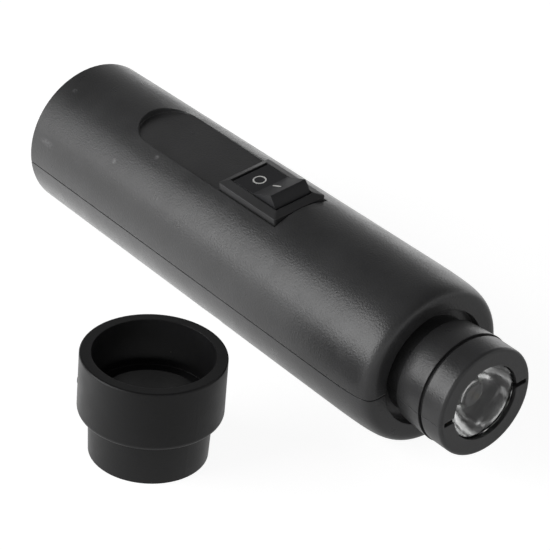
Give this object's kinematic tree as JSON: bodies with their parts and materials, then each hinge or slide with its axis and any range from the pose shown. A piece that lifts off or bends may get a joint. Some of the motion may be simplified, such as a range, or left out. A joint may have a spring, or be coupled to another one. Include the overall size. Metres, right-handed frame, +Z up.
{
  "type": "egg candling lamp",
  "caption": "Battery egg candling lamp with a clamshell body, rocker switch, lens in its neck, sliding battery door and a loose push-on cap.",
  "frame": {"origin": "middle of the footprint of the lamp and its cap, on the surface that they lie on", "axes": "+X is the way the beam leaves the lying lamp, apart from the slight tip of its tapered body, +Z is up, and the loose cap stands on the -Y side"},
  "size_m": [0.1472, 0.0904, 0.0432],
  "materials": {
    "shell_plastic": "fine satin texture, black ABS",
    "cap_plastic": "matt black, faintly textured",
    "switch_plastic": "satin black",
    "rocker_plastic": "satin black with white moulded marks",
    "clear_lens": "clear polished plastic",
    "holder_plastic": "white moulded plastic",
    "board": "white solder mask",
    "emitter": "clear dome over yellow phosphor",
    "screw_steel": "zinc plated",
    "contact_metal": "nickel plated",
    "spring_steel": "nickel plated wire",
    "terminal_brass": "plain brass strip",
    "carrier_plastic": "black moulded plastic",
    "cell_can": "plain sleeve over a metal can",
    "lead_insulation": "flexible insulation",
    "resistor_body": "lacquered ceramic"
  },
  "bodies": {
    "lamp": {"upper_shell": "shell_plastic", "lower_shell": "shell_plastic", "shell_screws": "screw_steel", "cell_right": "cell_can", "cell_left": "cell_can", "cell_lower": "cell_can", "rear_contact_carrier": "carrier_plastic", "front_contact_carrier": "carrier_plastic", "rear_bridge_contact": "contact_metal", "rear_end_contact": "contact_metal", "front_bridge_contact": "contact_metal", "front_end_contact": "contact_metal", "contact_springs": "spring_steel", "switch_housing": "switch_plastic", "common_terminal": "terminal_brass", "load_terminal": "terminal_brass", "lens": "clear_lens", "lens_holder": "holder_plastic", "led_board": "board", "led_emitter": "emitter", "resistor": "resistor_body", "lead_cells_to_board": "lead_insulation", "lead_cells_to_switch": "lead_insulation", "lead_switch_to_board": "lead_insulation"},
    "rocker": {"rocker": "rocker_plastic", "rocker_plunger": "carrier_plastic", "plunger_spring": "spring_steel"},
    "contact_arm": {"contact_arm": "terminal_brass"},
    "battery_door": {"battery_door": "shell_plastic"},
    "cap": {"candling_cap": "cap_plastic"}
  },
  "joints": [
    {"name": "rocker_hinge", "type": "hinge", "parent": "lamp", "child": "rocker", "pos_m": [0.00013, 0.02277, 0.03731], "axis": [-0.0012, 0.9903, 0.1392], "range_deg": [0, 22]},
    {"name": "contact_arm_hinge", "type": "hinge", "parent": "lamp", "child": "contact_arm", "pos_m": [0.0002, 0.02391, 0.02919], "axis": [-0.0012, 0.9903, 0.1392], "range_deg": [-11, 0]},
    {"name": "battery_door_slide", "type": "slide", "parent": "lamp", "child": "battery_door", "axis": [-1, 0, -0.0086], "range_m": [0, 0.056]},
    {"name": "cap_lift", "type": "slide", "parent": "lamp", "child": "cap", "axis": [0, 0, 1], "range_m": [0, 0.12]}
  ],
  "couplings": [
    {"joint": "contact_arm_hinge", "follows": "rocker_hinge", "ratio": -0.5}
  ]
}
